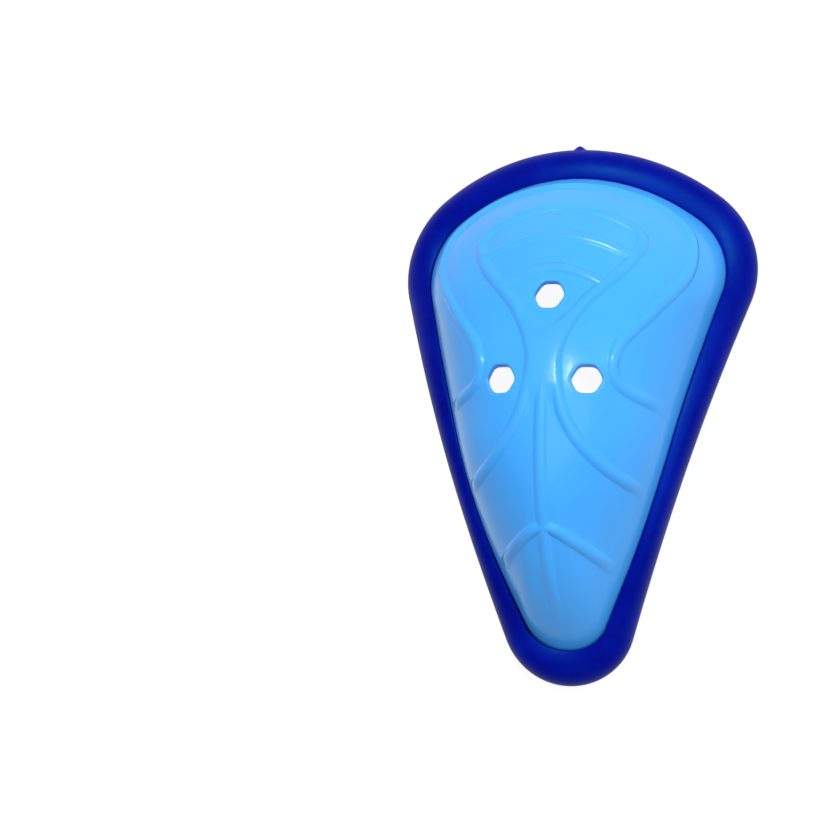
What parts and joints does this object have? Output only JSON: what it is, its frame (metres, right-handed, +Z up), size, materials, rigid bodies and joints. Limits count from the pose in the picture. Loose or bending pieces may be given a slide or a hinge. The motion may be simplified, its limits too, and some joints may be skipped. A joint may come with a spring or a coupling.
{
  "type": "abdominal guard",
  "caption": "Abdominal guard for sport: a hollow domed plastic cup, teardrop in plan, with raised ribs and vent holes, held in a soft rounded rubber edge.",
  "frame": {"origin": "middle of the bounding box, on the level that the guard stands on", "axes": "+X across, +Y along the length towards the wide end, +Z up, out of the front of the cup"},
  "size_m": [0.1058, 0.1608, 0.062],
  "materials": {
    "shell": "light blue moulded polypropylene, satin gloss",
    "edge_pad": "dark blue soft moulded rubber, dull satin"
  },
  "bodies": {
    "root": {"shell": "shell", "edge_pad": "edge_pad"}
  },
  "joints": []
}
